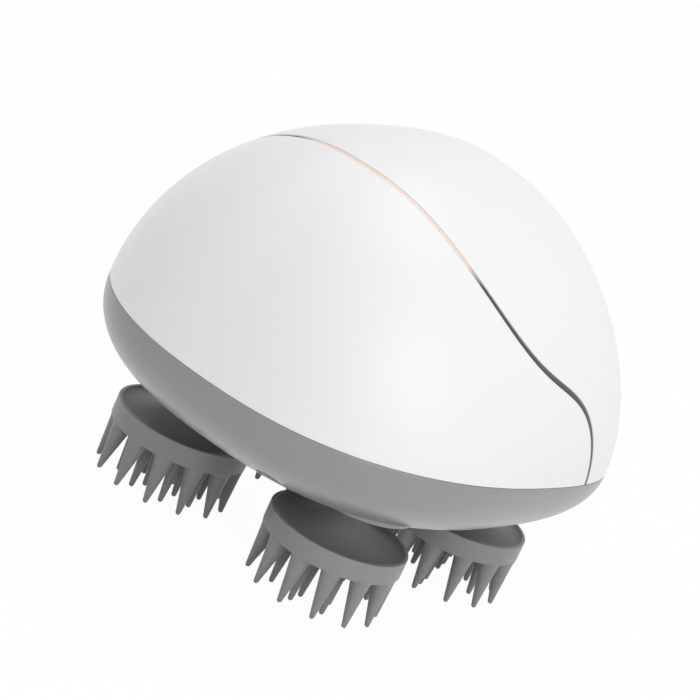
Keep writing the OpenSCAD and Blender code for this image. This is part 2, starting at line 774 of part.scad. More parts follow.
module battery_cell() {
    color([0.25, 0.4, 0.65]) translate([cell_x, heads_back, plate_top_h + cell_r + 2.5])
        rotate([90, 0, 0]) {
            cylinder(r = cell_r, h = cell_l, center = true);
            translate([0, 0, cell_l / 2]) cylinder(r = 2.8, h = 1);
        }
}

module battery_cradle() {
    color(disc_grey) translate([cell_x, heads_back, plate_top_h]) rotate([90, 0, 0])
        linear_extrude(height = cell_l - cradle_short, center = true) difference() {
            translate([-cell_r - 1.5, 0]) square([2 * cell_r + 3, cell_r + 2]);
            translate([0, cell_r + 2.5]) circle(r = cell_r + 0.1);
        }
}

module control_board() {
    color(board_green) translate([board_x, board_y, board_low_h]) difference() {
        union() {
            translate([-board_w / 2, -board_l / 2, 0]) cube([board_w, board_l, board_t]);
            translate([-5, -4, board_t]) cube([10, 10, 1.4]);
            translate([-8, 12, board_t]) cube([6, 5, 2.2]);
            translate([2, -18, board_t]) cube([5, 7, 3]);
            translate([-7, -16, board_t]) cylinder(r = 2.5, h = 6);
        }
        for (x = [-1, 1], y = [-1, 1])
            translate([x * (board_w / 2 - 3), y * (board_l / 2 - 3), -1]) cylinder(r = 1.1, h = board_t + 2);
    }
}

module board_screws() {
    color(steel) at_each(board_screw_at, board_low_h + board_t) screw(board_screw_l, 1, 2, 1.4);
}

module button_bezel() {
    color(housing_grey) on_back(button_h) difference() {
        union() {
            rotate_extrude() polygon([[button_r - 1, bezel_flange_low], [button_r + bezel_w, bezel_flange_low],
                [button_r + bezel_w, 0.1], [button_r + bezel_w - 0.7, 0.7], [button_r + 0.5, 0.7],
                [button_r - 1, 0.2]]);
            translate([0, 0, bezel_flange_low]) cylinder(r = button_r + bezel_w + bezel_flange, h = 1);
        }
        translate([0, 0, bezel_flange_low - 1]) cylinder(r = button_r + run_clear, h = 8);
    }
}

module power_button() {
    crown_r = 40;
    color(white) on_back(button_h) {
        difference() {
            translate([0, 0, button_flange_low]) cylinder(r = button_r, h = 0.6 - button_flange_low);
            translate([0, 0, crown_r + 0.2]) sphere(r = crown_r, $fn = 96);
        }
        translate([0, 0, button_flange_low]) cylinder(r = button_r + 1.2, h = 1);
        translate([0, 0, plunger_top])
            cylinder(r = 1.8, h = button_flange_low - plunger_top);
    }
}

module switch_plunger() {
    color(dark_rubber) on_back(button_h)
        translate([0, 0, plunger_low]) cylinder(r = plunger_r, h = plunger_top - plunger_low);
}

module power_switch() {
    color(dark_rubber) on_back(button_h) translate([0, 0, switch_board_low + board_t]) difference() {
        translate([-3, -3, 0]) cube([6, 6, switch_body_h]);
        translate([0, 0, switch_floor]) cylinder(r = plunger_r + run_clear, h = switch_body_h);
    }
}

module switch_board() {
    color(board_green) on_back(button_h) difference() {
        translate([-switch_board_w / 2, -switch_board_l / 2, switch_board_low])
            cube([switch_board_w, switch_board_l, board_t]);
        for (x = [-switch_post_x, switch_post_x]) translate([x, 0, switch_board_low - 1])
            cylinder(r = 1.1, h = board_t + 2);
    }
}

module switch_screws() {
    color(steel) on_back(button_h) for (x = [-switch_post_x, switch_post_x])
        translate([x, 0, switch_board_low]) mirror([0, 0, 1]) screw(switch_screw_l, 1, 2, 1.4);
}

// A round socket pushed in from inside, with a flange behind the wall
module charging_socket() {
    color(dark_rubber) on_back(socket_h) {
        difference() {
            union() {
                translate([0, 0, -socket_depth]) cylinder(r = socket_r, h = socket_depth - socket_sink);
                translate([0, 0, socket_flange_low]) cylinder(r = socket_r + socket_flange, h = socket_flange_t);
            }
            translate([0, 0, socket_floor - socket_depth]) cylinder(r = socket_bore_r, h = socket_depth);
        }
    }
}

base_housing();
front_cover();
rear_cover();
trim_strip();
seam_gasket();
gear_plate();
gear_plate_screws();
cover_screws();
drive_motor();
motor_gearbox();
motor_screws();
drive_shaft();
drive_pinion();
battery_cell();
battery_cradle();
control_board();
board_screws();
button_bezel();
power_button();
switch_plunger();
power_switch();
switch_board();
switch_screws();
charging_socket();
claw_pad(0);  // claw_pad_front_left
claw_pad(1);  // claw_pad_front_right
claw_pad(2);  // claw_pad_rear_right
claw_pad(3);  // claw_pad_rear_left
head_disc(HEAD_SIDES[0]);  // head_disc_front_left
head_disc(HEAD_SIDES[1]);  // head_disc_front_right
head_disc(HEAD_SIDES[2]);  // head_disc_rear_right
head_disc(HEAD_SIDES[3]);  // head_disc_rear_left
disc_screw(HEAD_SIDES[0]);  // disc_screw_front_left
disc_screw(HEAD_SIDES[1]);  // disc_screw_front_right
disc_screw(HEAD_SIDES[2]);  // disc_screw_rear_right
disc_screw(HEAD_SIDES[3]);  // disc_screw_rear_left
spindle(HEAD_SIDES[0]);  // spindle_front_left
spindle(HEAD_SIDES[1]);  // spindle_front_right
spindle(HEAD_SIDES[2]);  // spindle_rear_right
spindle(HEAD_SIDES[3]);  // spindle_rear_left
head_gear(HEAD_SIDES[0]);  // head_gear_front_left
head_gear(HEAD_SIDES[1]);  // head_gear_front_right
head_gear(HEAD_SIDES[2]);  // head_gear_rear_right
head_gear(HEAD_SIDES[3]);  // head_gear_rear_left
lower_bush(HEAD_SIDES[0]);  // lower_bush_front_left
lower_bush(HEAD_SIDES[1]);  // lower_bush_front_right
lower_bush(HEAD_SIDES[2]);  // lower_bush_rear_right
lower_bush(HEAD_SIDES[3]);  // lower_bush_rear_left
upper_bush(HEAD_SIDES[0]);  // upper_bush_front_left
upper_bush(HEAD_SIDES[1]);  // upper_bush_front_right
upper_bush(HEAD_SIDES[2]);  // upper_bush_rear_right
upper_bush(HEAD_SIDES[3]);  // upper_bush_rear_left
shaft_seal(HEAD_SIDES[0]);  // shaft_seal_front_left
shaft_seal(HEAD_SIDES[1]);  // shaft_seal_front_right
shaft_seal(HEAD_SIDES[2]);  // shaft_seal_rear_right
shaft_seal(HEAD_SIDES[3]);  // shaft_seal_rear_left
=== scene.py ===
"""Looks of a hand-held electric scalp massager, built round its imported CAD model.

Metres, in the CAD model's frame: +Z is up, -Y the front, +X the right-hand side seen from the
front, and the origin lies on the floor under the middle of the housing. Sizes below are in
millimetres, as in the CAD source, and new_mesh turns them into metres.
"""

import json
import math

import bmesh
import bpy
import numpy as np
from mathutils import Matrix, Vector


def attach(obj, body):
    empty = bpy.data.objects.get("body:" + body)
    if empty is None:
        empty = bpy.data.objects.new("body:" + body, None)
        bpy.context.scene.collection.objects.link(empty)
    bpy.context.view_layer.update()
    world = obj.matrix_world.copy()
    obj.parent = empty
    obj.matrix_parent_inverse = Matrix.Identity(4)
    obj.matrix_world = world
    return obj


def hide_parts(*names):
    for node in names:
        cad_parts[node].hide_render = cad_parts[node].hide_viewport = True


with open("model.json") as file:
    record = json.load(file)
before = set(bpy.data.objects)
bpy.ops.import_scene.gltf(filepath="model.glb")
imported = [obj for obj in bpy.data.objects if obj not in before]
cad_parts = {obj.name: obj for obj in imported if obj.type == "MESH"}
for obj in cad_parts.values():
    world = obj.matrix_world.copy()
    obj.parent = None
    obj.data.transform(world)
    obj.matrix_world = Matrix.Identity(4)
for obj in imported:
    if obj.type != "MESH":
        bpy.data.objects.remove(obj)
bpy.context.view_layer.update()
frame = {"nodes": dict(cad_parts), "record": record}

MM = 0.001
scene = bpy.context.scene
scene.view_settings.view_transform = "Standard"

# ---- Camera ----

AZIMUTH, ELEVATION, ROLL = (math.radians(v) for v in (28.603, 17.182, 24.686))
CAMERA_DISTANCE = 880.0
CAMERA_SHIFT_X, CAMERA_SHIFT_Y = -14.036, -41.44
FOCAL_PIXELS, IMAGE_PIXELS, SENSOR_W = 3837.197, 700.0, 36.0


def add_camera():
    """Camera at the photograph's angle: it looks from azimuth and elevation, then rolls."""
    back = Vector((math.sin(AZIMUTH) * math.cos(ELEVATION),
                   -math.cos(AZIMUTH) * math.cos(ELEVATION), math.sin(ELEVATION)))
    right = Vector((math.cos(AZIMUTH), math.sin(AZIMUTH), 0))
    up = back.cross(right)
    rolled_right = math.cos(ROLL) * right + math.sin(ROLL) * up
    rolled_up = -math.sin(ROLL) * right + math.cos(ROLL) * up
    place = (CAMERA_DISTANCE * back - CAMERA_SHIFT_X * rolled_right
             - CAMERA_SHIFT_Y * rolled_up) * MM
    camera = bpy.data.objects.new("camera", bpy.data.cameras.new("camera"))
    scene.collection.objects.link(camera)
    turn = Matrix((rolled_right, rolled_up, back)).transposed()
    camera.matrix_world = Matrix.Translation(place) @ turn.to_4x4()
    camera.data.sensor_width = SENSOR_W
    camera.data.lens = FOCAL_PIXELS / IMAGE_PIXELS * SENSOR_W
    camera.data.clip_end = 50
    scene.camera = camera


add_camera()

# ---- Sizes, in millimetres ----

HALF_W, HALF_L, PLAN_POWER = 54.5, 63.0, 2.55
SEAM_H, SEAM_BOW, SEAM_TILT, SEAM_GAP = 40.0, 3.8, 3.3, 0.8
DOME_H, DOME_TOP_FWD, BASE_DEPTH, BASE_POWER = 60.0, 13.0, 16.5, 2.1
FLAT_HALF_W, FLAT_HALF_L, WALL = 24.5, 28.5, 2.2
SIDE_RISE, SIDE_ROUND = 1.8, 1.84
FRONT_RISE, FRONT_ROUND = 2.6, 2.12
BACK_RISE, BACK_ROUND = 1.55, 2.6
# the line between the covers, seen from the side, as four control points of a cubic (y, height)
SPLIT_POINTS = np.array([(19, 42), (9.5, 77), (-10.5, 53.5), (-38.5, 96.5)], float)
# the strip between the covers: width at the seam and on top, clearance and depth
TRIM_SEAM_W, TRIM_TOP_W, TRIM_TOP_H, TRIM_CLEAR, TRIM_SINK = 1.3, 0.75, 95.0, 0.06, 0.15
# the strip's section: places across it, as shares of half its width, and depths under its crown
TRIM_ACROSS = np.array([-1, -1, -0.82, -0.4, 0, 0.4, 0.82, 1, 1])
TRIM_DEPTHS = np.array([WALL, 0.2, 0.05, 0.01, 0, 0.01, 0.05, 0.2, WALL])
# rounded edges of the covers along the strip and along the seam, and of the base
SPLIT_EDGE_R, SEAM_EDGE_R, BASE_EDGE_R = 0.28, 0.2, 0.03
GASKET_CLEAR, GASKET_SINK, GASKET_LIFT, GASKET_EDGE_R = 0.06, 0.02, 0.005, 0.06

HEAD_R, CLAW_L, BAND_H, LIP_T, PAD_FLOOR = 16.5, 12.2, 4.8, 1.0, 2.0
RIM_H, DISC_LOW = CLAW_L + BAND_H, CLAW_L + PAD_FLOOR
PAD_EDGE_R, LIP_EDGE_R = 0.3, 0.15
# the heads' places in plan, and the angle in degrees at which each one's rings of claws start
HEADS = {"front_left": (-23.5, -22.5), "front_right": (23.5, -22.5),
         "rear_right": (23.5, 28.5), "rear_left": (-23.5, 28.5)}
CLAW_TURNS = {"front_left": -4, "front_right": 7, "rear_right": 17.5, "rear_left": 10}
# rings of claws: count, radius of the ring at roots and at tips, radius of a claw at its root,
# how far it opens where it meets the pad, and the height of its tip
CLAW_RINGS = ((12, 13.95, 15.3, 2.4, 0.3, 0.45), (8, 9.3, 9.8, 1.75, 0.3, 0.0),
              (4, 4.5, 5.0, 1.75, 0.3, 0.0))
CLAW_TIP_R, CLAW_INSET = 0.6, 0.02
# the disc: clearance in the lip, hub, height of its dish and rise to the hub, rise to its rim,
# how fast both fade, edge, bore for the screw and the height at which the bore starts, and how
# many rows its top has and how they crowd towards the rim
DISC_CLEAR, HUB_R, HUB_EDGE, HUB_CROWN = 0.03, 4.0, 0.4, 0.02
DISC_DISH, DISC_RISE, DISC_FADE = 16.0, 6.0, 4.0
DISC_RIM, DISC_RIM_FADE, DISC_EDGE_R = 0.5, 1.0, 0.1
DISC_BORE_R, DISC_BORE_LOW = 2.56, 18.0
DISC_ROWS, DISC_CROWDING = 60, 1.4

# inside and under the base: collars, bosses with their seal seats and bush holes, posts and wells
# of the cover screws, and how far a cut runs past what it cuts
COLLAR_R, COLLAR_H, COLLAR_TOP, COLLAR_EDGE_R = 14.5, 25.2, 31.0, 0.6
BUSH_BOSS_R, BUSH_BOSS_SUNK, BUSH_BOSS_TOP = 7.5, 1.0, 32.5
SEAL_R, SEAL_TOP, BUSH_R, BUSH_TOP = 5.53, 27.2, 4.03, 40.0
COVER_SCREWS = ((17, -50), (-17, -50), (17, 53), (-17, 53))
SCREW_POST_R, SCREW_POST_LOW, SCREW_POST_SHORT = 5.0, 31.0, 2.0
WELL_R, WELL_TOP, SCREW_HOLE_R, SCREW_HOLE_TOP = 3.1, 34.0, 1.6, 45.0
CUT_PAST, HOLLOW_PAST = 3.0, 6.0
# holes in the rear cover for the power button's bezel and the charging socket: where they meet
# the outer face (y, height), how far their axes lean up from level, in degrees, and the radius
BACK_HOLES = ((54.95, 63.0, 27.5, 9.03), (61.622, 45.5, 13.788, 4.03))
BACK_HOLE_IN, BACK_HOLE_OUT = 7.0, 6.0

# ---- Meshes ----


def grid_faces(rows, cols, wrap=False, flip=False):
    """Four-sided faces of a grid of points that is stored row by row."""
    index = np.arange(rows * cols).reshape(rows, cols)
    if wrap:
        index = np.concatenate([index, index[:, :1]], axis=1)
    faces = np.stack([index[:-1, :-1], index[:-1, 1:], index[1:, 1:], index[1:, :-1]], -1)
    faces = faces.reshape(-1, 4)
    return faces[:, ::-1] if flip else faces


def joined(parts):
    """One list of points and faces out of several."""
    points, faces, start = [], [], 0
    for p, f in parts:
        points.append(p.reshape(-1, 3))
        faces.append(f + start)
        start += len(points[-1])
    return np.concatenate(points), np.concatenate(faces)


def welded(points, faces):
    """Points that coincide become one; faces lose doubled corners, or go if no area is left."""
    points = points.reshape(-1, 3)
    _, first, same = np.unique(np.round(points, 5), axis=0, return_index=True, return_inverse=True)
    faces = same.reshape(-1)[faces]
    repeated = faces == np.roll(faces, -1, axis=1)
    quads = faces[repeated.sum(1) == 0]
    thin = faces[repeated.sum(1) == 1]
    drop = repeated[repeated.sum(1) == 1]
    tris = thin[~drop].reshape(-1, 3)
    return points[first], quads.tolist() + tris.tolist()


def new_mesh(name, part):
    """Blender mesh, in metres, with its coinciding points joined."""
    points, faces = welded(*part)
    mesh = bpy.data.meshes.new(name)
    mesh.from_pydata((points * MM).tolist(), [], faces)
    mesh.validate()
    return mesh


def make_piece(name, part, body, material, stands_for=(), crease=40):
    """A visible piece on a CAD body: a finished mesh, or points and faces, which are shaded
    smooth with sharp edges past the crease angle."""
    mesh = part
    if not isinstance(part, bpy.types.Mesh):
        mesh = new_mesh(name, part)
        mesh.shade_smooth()
        mesh.set_sharp_from_angle(angle=math.radians(crease))
    mesh.materials.clear()
    mesh.materials.append(material)
    piece = bpy.data.objects.new(name, mesh)
    scene.collection.objects.link(piece)
    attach(piece, body)
    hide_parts(*stands_for)
    return piece


def full_turn(cols):
    """Angles round a circle, at even steps, the first of them 0."""
    return 2 * np.pi * np.arange(cols) / cols


def arc(centre, radius, start, end, steps=6):
    """Points (r, z) of a circular arc from one angle to another, in degrees."""
    a = np.radians(np.linspace(start, end, steps + 1))
    return np.stack([centre[0] + radius * np.cos(a), centre[1] + radius * np.sin(a)], -1)


def revolved(profile, centre=(0, 0), cols=96):
    """A profile of (r, z), from the axis out, up and back to the axis, carried round a circle."""
    profile = np.asarray(profile, float)
    angle = full_turn(cols)
    r, z = profile[:, :1], profile[:, 1:]
    points = np.stack([centre[0] + r * np.cos(angle), centre[1] + r * np.sin(angle),
                       z + 0 * angle], -1)
    return points.reshape(-1, 3), grid_faces(len(profile), cols, wrap=True)


# ---- Form of the housing ----


def seam_lift(x, y):
    """Rise of the bowed and tilted seam: a parabola across, a slope from front to back."""
    return SEAM_BOW * (x / HALF_W) ** 2 - SEAM_TILT * y / HALF_L


def plan_radius(angle, a, b):
    """Distance from the centre to a superellipse with half axes a and b, in one direction."""
    a, b = np.maximum(a, 1e-9), np.maximum(b, 1e-9)
    return ((np.abs(np.cos(angle)) / a) ** PLAN_POWER
            + (np.abs(np.sin(angle)) / b) ** PLAN_POWER) ** (-1 / PLAN_POWER)


def dome_level(t):
    """Half width, front, back and middle of the dome's outline at level t, 0 to 1. Each spread
    is its size at the seam times (1 - t^rise)^(1/round), and the middle moves forward with the
    square of the level."""
    def spread(rise, power):
        """Share of the outline's size at the seam that is left at level t."""
        return np.clip(1 - t ** rise, 0, 1) ** (1 / power)

    return (HALF_W * spread(SIDE_RISE, SIDE_ROUND),
            -DOME_TOP_FWD - (HALF_L - DOME_TOP_FWD) * spread(FRONT_RISE, FRONT_ROUND),
            -DOME_TOP_FWD + (HALF_L + DOME_TOP_FWD) * spread(BACK_RISE, BACK_ROUND),
            -DOME_TOP_FWD * t * t)


def dome(q):
    """Point on the covers' outer face. q lies in a unit disc: its angle is the direction in
    plan, and its distance from the centre, 1 at the seam and 0 at the top, sets the level
    t = sin(90 deg * (1 - distance)). Each level is a superellipse, and the seam's bow and tilt
    fade out towards the top."""
    angle = np.arctan2(q[..., 1], q[..., 0])
    t = np.sin(np.pi / 2 * np.clip(1 - np.hypot(q[..., 0], q[..., 1]), 0, 1))
    a, front, back, mid = dome_level(t)
    r = plan_radius(angle, a, np.where(np.sin(angle) < 0, mid - front, back - mid))
    x, y = r * np.cos(angle), mid + r * np.sin(angle)
    return np.stack([x, y, SEAM_H + DOME_H * t + (1 - t) * seam_lift(x, y)], -1)


def unit(v):
    """Vectors divided by their lengths."""
    return v / np.maximum(np.linalg.norm(v, axis=-1, keepdims=True), 1e-12)


def dome_normal(q, step=2e-4):
    """Outward normal of the dome, from central differences over the disc."""
    dx, dy = np.array([step, 0]), np.array([0, step])
    return unit(np.cross(dome(q + dx) - dome(q - dx), dome(q + dy) - dome(q - dy)))


def base_bowl(angle, u, inset=0.0):
    """Point on the grey base: superellipses from the seam, u = 0, to the flat, u = 1, that
    close in as (1 - u^p)^(1/p), set in from the outer face by inset."""
    spread = np.clip(1 - u ** BASE_POWER, 0, 1) ** (1 / BASE_POWER)
    a = FLAT_HALF_W - inset + (HALF_W - FLAT_HALF_W) * spread
    b = FLAT_HALF_L - inset + (HALF_L - FLAT_HALF_L) * spread
    r = plan_radius(angle, a, b)
    x, y = r * np.cos(angle), r * np.sin(angle)
    z = SEAM_H - SEAM_GAP - (BASE_DEPTH - SEAM_GAP - inset) * u + (1 - u) * seam_lift(x, y)
    return np.stack([x, y, z], -1)


def resampled(q, count):
    """count places on a line over the disc, at equal steps of length on the dome."""
    length = np.concatenate([[0], np.cumsum(np.linalg.norm(np.diff(dome(q), axis=0), axis=1))])
    at = np.linspace(0, length[-1], count)
    return np.stack([np.interp(at, length, q[:, k]) for k in (0, 1)], -1)


def strip_half(height):
    """Half the strip's width, which falls evenly with height from the seam to the top."""
    share = np.clip((height - SEAM_H) / (TRIM_TOP_H - SEAM_H), 0, 1)
    return (TRIM_SEAM_W + share * (TRIM_TOP_W - TRIM_SEAM_W)) / 2


TOP_SAMPLES, LINE_SAMPLES, BISECTIONS = 4001, 1500, 50


def split_line(side, hold, least_level, count):
    """The line between the covers, moved to the strip's front (-1) or rear (1) edge and past it
    by hold, as places on the disc from the right-hand seam over the top to the left-hand seam.
    The side view's cubic gives y and height; bisection finds the level whose outline meets
    them."""
    def on_dome(s):
        """Level, x, distance from the middle and its share of the outline's, along the cubic."""
        s = s[:, None]
        p = SPLIT_POINTS
        yz = ((1 - s) ** 3 * p[0] + 3 * s * (1 - s) ** 2 * p[1]
              + 3 * s * s * (1 - s) * p[2] + s ** 3 * p[3])
        along = ((1 - s) ** 2 * (p[1] - p[0]) + 2 * s * (1 - s) * (p[2] - p[1])
                 + s * s * (p[3] - p[2]))
        shift = side * (strip_half(yz[:, 1:]) + hold)
        yz = yz + shift * unit(np.stack([along[:, 1], -along[:, 0]], -1))
        low, high = np.zeros(len(s)), np.full(len(s), 1 - 1e-9)
        for _ in range(BISECTIONS):
            t = (low + high) / 2
            a, front, back, mid = dome_level(t)
            off = yz[:, 0] - mid
            share = np.abs(off) / np.where(off < 0, mid - front, back - mid)
            x = a * np.clip(1 - share ** PLAN_POWER, 0, 1) ** (1 / PLAN_POWER)
            z = SEAM_H + DOME_H * t + (1 - t) * seam_lift(x, yz[:, 0])
            low, high = np.where(z < yz[:, 1], t, low), np.where(z < yz[:, 1], high, t)
        return t, x, off, share

    coarse = np.linspace(0, 1, TOP_SAMPLES)
    top = coarse[np.argmax(on_dome(coarse)[3] >= 1)]
    share = np.linspace(0, 1, LINE_SAMPLES)
    t, x, off, _ = on_dome(top * (1 - (1 - share) ** 2))
    first = np.argmax(t > least_level)
    distance = 1 - np.arcsin(t) / (np.pi / 2)
    angle = np.arctan2(off, x)
    right = np.stack([distance * np.cos(angle), distance * np.sin(angle)], -1)
    part = (least_level - t[first - 1]) / (t[first] - t[first - 1])
    start = right[first - 1] + part * (right[first] - right[first - 1])
    right = np.concatenate([[start], right[first:]])
    right[-1, 0] = 0
    left = right[-2::-1] * (-1, 1)
    return resampled(np.concatenate([right, left]), count)


# ---- Housing pieces ----

SHELL_COLS, SHELL_ROWS, CORNER_STEPS, EDGE_STEPS, SEAM_SAMPLES = 241, 64, 5, 6, 1200


def cover_shell(rear):
    """A cover as a closed shell. Its outer face runs between the line along the trim and its
    arc of the seam, both held back by the edges' radii; a rim rounds those edges over, goes
    down the wall's thickness and meets an inner face that lies one wall behind the outer."""
    sign = 1 if rear else -1
    level = SEAM_EDGE_R / DOME_H
    top = split_line(sign, TRIM_CLEAR + SPLIT_EDGE_R, level, SHELL_COLS)
    start = math.atan2(top[0, 1], top[0, 0])
    end = math.pi - start if rear else -math.pi - start
    angle = np.linspace(start, end, SEAM_SAMPLES)
    seam = np.hypot(*top[0]) * np.stack([np.cos(angle), np.sin(angle)], -1)
    seam = resampled(seam, SHELL_COLS)
    share = np.linspace(0, 1, SHELL_ROWS)[:, None, None]
    q = (1 - share) * top + share * seam
    outer, normal = dome(q), dome_normal(q)
    inner = outer - WALL * normal

    def outward(row, next_row):
        """Directions that leave the shell across one of its edges, along its face."""
        along = unit(np.gradient(outer[row], axis=0))
        w = unit(np.cross(normal[row], along))
        inside = outer[next_row] - outer[row]
        inside[[0, -1]] = inside[[1, -2]]
        return -w * np.sign(np.sum(w * inside, -1, keepdims=True))

    top_w, seam_w = outward(0, 1), outward(-1, -2)

    turn = np.linspace(0, 1, CORNER_STEPS + 2)[1:-1]

    def corner(k):
        """Directions that swing from one edge's to the other's at a corner."""
        return unit((1 - turn[:, None]) * top_w[k] + turn[:, None] * seam_w[k])

    def held(rows, k):
        """One end of the line along the trim, repeated while a corner swings round."""
        return np.repeat(rows[0][k][None], CORNER_STEPS, 0)

    edge = np.concatenate([outer[0], held(outer, -1), outer[-1][::-1], held(outer, 0)])
    edge_n = np.concatenate([normal[0], held(normal, -1), normal[-1][::-1], held(normal, 0)])
    edge_w = np.concatenate([top_w, corner(-1), seam_w[::-1], corner(0)[::-1]])
    to_seam = SPLIT_EDGE_R + turn * (SEAM_EDGE_R - SPLIT_EDGE_R)
    radius = np.concatenate([np.full(SHELL_COLS, SPLIT_EDGE_R), to_seam,
                             np.full(SHELL_COLS, SEAM_EDGE_R), to_seam[::-1]])[:, None]
    rings = [edge]
    for a in np.radians(np.linspace(0, 90, EDGE_STEPS + 1)[1:]):
        rings.append(edge + edge_w * radius * math.sin(a) - edge_n * radius * (1 - math.cos(a)))
    rings.append(edge + edge_w * radius - edge_n * WALL)
    rings.append(edge - edge_n * WALL)
    return joined([
        (outer, grid_faces(SHELL_ROWS, SHELL_COLS, flip=rear)),
        (inner, grid_faces(SHELL_ROWS, SHELL_COLS, flip=not rear)),
        (np.array(rings), grid_faces(len(rings), len(edge), wrap=True, flip=not rear))])


def trim_band(cols=321):
    """The strip between the covers: a low crowned section carried along the split line."""
    q = split_line(0, 0, 1e-4, cols)
    centre, normal = dome(q), dome_normal(q * 0.9999)
    across = unit(np.cross(unit(np.gradient(centre, axis=0)), normal))
    side, depth = TRIM_ACROSS[:, None, None], (TRIM_SINK + TRIM_DEPTHS)[:, None, None]
    rows = centre + across * side * strip_half(centre[:, 2:]) - normal * depth
    rings = np.concatenate([rows, rows[:1]])
    caps = rows[:, [0, -1]]
    middle = caps.mean(0)

    def cap(k):
        """One end of the strip, closed by a fan of faces round its middle."""
        return (np.stack([np.repeat(middle[k][None], len(side), 0), caps[:, k]]),
                grid_faces(2, len(side), wrap=True, flip=k != 0))

    return joined([(rings, grid_faces(len(rings), cols, flip=True)), cap(0), cap(1)])


BASE_COLS, BOWL_ROWS = 256, 40
HOLLOW_COLS, HOLLOW_ROWS = 96, 16
FLAT_RINGS = (0.25, 0.5, 0.75, 0.92)


def closed_rings(rings, low, high):
    """A closed solid through rings from the bottom up, each end drawn in to one point."""
    cols = len(rings[0])
    stack = [np.repeat([low], cols, 0), *rings, np.repeat([high], cols, 0)]
    return np.array(stack, float), grid_faces(len(stack), cols, wrap=True)


def base_outside():
    """The base's outer form as a solid: the flat, the bowl and the rounded upper edge."""
    angle = full_turn(BASE_COLS)
    least = BASE_EDGE_R / BASE_DEPTH
    u = np.sin(np.linspace(np.pi / 2, math.asin(least), BOWL_ROWS))
    rings = [base_bowl(angle, 1.0) * (k, k, 1) for k in FLAT_RINGS]
    rings += [base_bowl(angle, v) for v in u]
    edge = rings[-1]
    up = unit(base_bowl(angle, least - 1e-4) - base_bowl(angle, least + 1e-4))
    around = np.roll(edge, -1, 0) - np.roll(edge, 1, 0)
    normal = unit(np.cross(around, up))
    for a in np.radians(np.linspace(0, 90, EDGE_STEPS + 1)[1:]):
        rings.append(edge + up * BASE_EDGE_R * math.sin(a)
                     - normal * BASE_EDGE_R * (1 - math.cos(a)))
    middle = SEAM_H - SEAM_GAP
    return closed_rings(rings, (0, 0, SEAM_H - BASE_DEPTH), (0, 0, middle))


def base_inside():
    """The hollow of the base as a solid that runs on past its upper edge."""
    angle = full_turn(HOLLOW_COLS)
    u = np.sin(np.linspace(np.pi / 2, 0, HOLLOW_ROWS))
    rings = [base_bowl(angle, v, WALL) for v in u]
    rings.append(rings[-1] + (0, 0, HOLLOW_PAST))
    return closed_rings(rings, (0, 0, SEAM_H - BASE_DEPTH + WALL), (0, 0, SEAM_H + HOLLOW_PAST))


def post(x, y, r, low, high, edge=0.0, cols=64):
    """A round post or hole as a solid, with its lower rim rounded by edge."""
    profile = [(0, low), (r - edge, low)]
    if edge:
        profile = [(0, low), *arc((r - edge, low + edge), edge, -90, 0)]
    return revolved([*profile, (r, high), (0, high)], (x, y), cols)


def combined(name, first, *steps):
    """A mesh worked out from closed solids, each joined to or cut from what came before."""
    work = bpy.data.objects.new(name, new_mesh(name, first))
    scene.collection.objects.link(work)
    tools = []
    for operation, part in steps:
        tool = bpy.data.objects.new(name + "_tool", new_mesh(name + "_tool", part))
        scene.collection.objects.link(tool)
        cut = work.modifiers.new(operation, "BOOLEAN")
        cut.operation, cut.object, cut.solver = operation, tool, "MANIFOLD"
        tools.append(tool)
    bpy.context.view_layer.update()
    graph = bpy.context.evaluated_depsgraph_get()
    mesh = bpy.data.meshes.new_from_object(work.evaluated_get(graph))
    for used in [work, *tools]:
        data = used.data
        bpy.data.objects.remove(used)
        bpy.data.meshes.remove(data)
    return mesh


def evenly_shaded(mesh, crease):
    """The mesh with its corner normals weighted by the faces' areas, sharp past the crease."""
    mesh.shade_smooth()
    mesh.set_sharp_from_angle(angle=math.radians(crease))
    work = bpy.data.objects.new("shading", mesh)
    scene.collection.objects.link(work)
    weigh = work.modifiers.new("weigh", "WEIGHTED_NORMAL")
    weigh.keep_sharp, weigh.weight = True, 100
    bpy.context.view_layer.update()
    graph = bpy.context.evaluated_depsgraph_get()
    shaded = bpy.data.meshes.new_from_object(work.evaluated_get(graph))
    bpy.data.objects.remove(work)
    bpy.data.meshes.remove(mesh)
    return shaded


def back_hole(y, height, lean, r):
    """A round hole in the rear cover as a solid, square to its face, that runs past the wall: a
    cylinder, leant back from upright until it rises by lean, and moved to its place."""
    profile = [(0, -BACK_HOLE_IN), (r, -BACK_HOLE_IN), (r, BACK_HOLE_OUT), (0, BACK_HOLE_OUT)]
    points, faces = revolved(profile)
    turn = math.radians(lean - 90)
    x, across, out = points.T
    return np.stack([x, y + math.cos(turn) * across - math.sin(turn) * out,
                     height + math.sin(turn) * across + math.cos(turn) * out], -1), faces


def rear_mesh():
    """The rear cover, less the holes for the power button and the charging socket."""
    holes = joined([back_hole(*place) for place in BACK_HOLES])
    return evenly_shaded(combined("rear", cover_shell(True), ("DIFFERENCE", holes)), 40)


